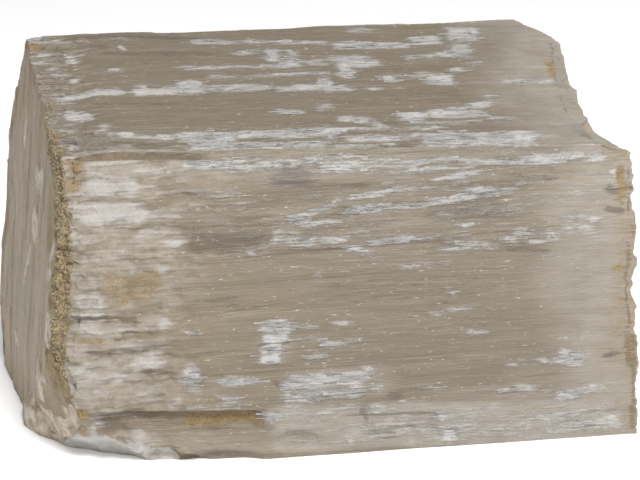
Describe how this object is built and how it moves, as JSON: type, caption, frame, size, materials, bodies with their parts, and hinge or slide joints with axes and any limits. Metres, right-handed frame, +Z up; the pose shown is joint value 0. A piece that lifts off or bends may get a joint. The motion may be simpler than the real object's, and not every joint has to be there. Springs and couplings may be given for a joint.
{
  "type": "selenite crystal",
  "caption": "Chunky cleaved block of fibrous selenite with a sloped upper face, splintery ledges and ragged ends, resting on a flat face.",
  "frame": {"origin": "on the resting face, under the middle of the bounding box", "axes": "+X along the fibres, the longest side; +Y from the broad front face to the back; +Z up from the resting face"},
  "size_m": [0.1469, 0.0758, 0.0915],
  "materials": {
    "selenite": "milky grey-beige fibrous gypsum with a silky shine, white bruised streaks and ochre stains"
  },
  "bodies": {
    "root": {"selenite_crystal": "selenite"}
  },
  "joints": []
}
